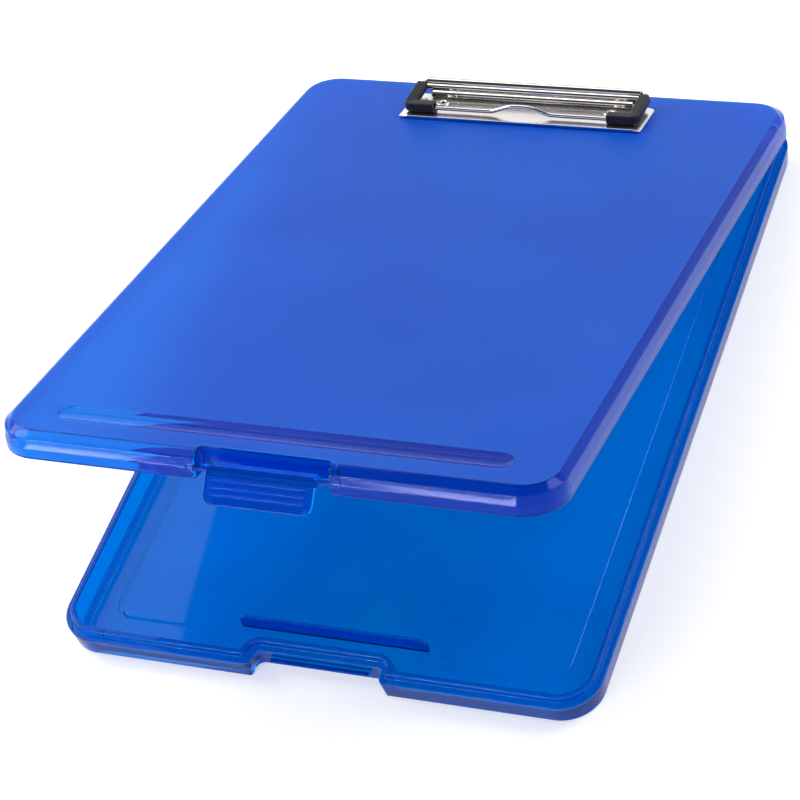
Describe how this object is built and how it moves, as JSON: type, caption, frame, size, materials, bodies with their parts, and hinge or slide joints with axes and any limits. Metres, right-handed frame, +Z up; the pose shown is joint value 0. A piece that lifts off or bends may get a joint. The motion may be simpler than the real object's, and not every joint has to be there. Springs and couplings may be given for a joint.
{
  "type": "storage clipboard",
  "caption": "A4 storage clipboard: shallow tray under a hinged writing lid with a front latch flap and a sprung wire bail clip.",
  "frame": {"origin": "on the table, under the middle of the case's whole length and width", "axes": "+X to the right along the hinge, +Y from the latch edge to the hinge edge, +Z up out of the tray"},
  "size_m": [0.24, 0.3436, 0.1191],
  "materials": {
    "case_gloss": "clear-tinted polished plastic",
    "lid_frosted": "fine frosted top with polished edges",
    "nickel": "bright nickel plate",
    "steel": "plain drawn wire",
    "rubber": "smooth dull"
  },
  "bodies": {
    "base": {"base_tray": "case_gloss", "hinge_pin_left": "steel", "hinge_pin_right": "steel"},
    "lid": {"lid_panel": "lid_frosted", "clip_base_plate": "nickel", "clip_pivot_rod": "steel", "clip_spring_left": "steel", "clip_spring_right": "steel", "clip_rivet_left": "nickel", "clip_rivet_right": "nickel", "rivet_washer_left": "nickel", "rivet_washer_right": "nickel"},
    "latch": {"latch_flap": "case_gloss"},
    "jaw": {"clip_lever": "nickel", "clip_bail_wire": "nickel", "grip_corner_left": "rubber", "grip_corner_right": "rubber"}
  },
  "joints": [
    {"name": "lid_hinge", "type": "hinge", "parent": "base", "child": "lid", "pos_m": [0, 0.16865, 0.01015], "axis": [-1, 0, 0], "range_deg": [-17, 133]},
    {"name": "latch_pivot", "type": "hinge", "parent": "lid", "child": "latch", "pos_m": [0, -0.15357, 0.11331], "axis": [-1, 0, 0], "range_deg": [-39, 71]},
    {"name": "clip_pivot", "type": "hinge", "parent": "lid", "child": "jaw", "pos_m": [0, 0.15225, 0.03038], "axis": [-1, 0, 0], "range_deg": [0, 30], "stiffness_Nm_per_rad": 0.3, "springref_deg": -28.65}
  ]
}
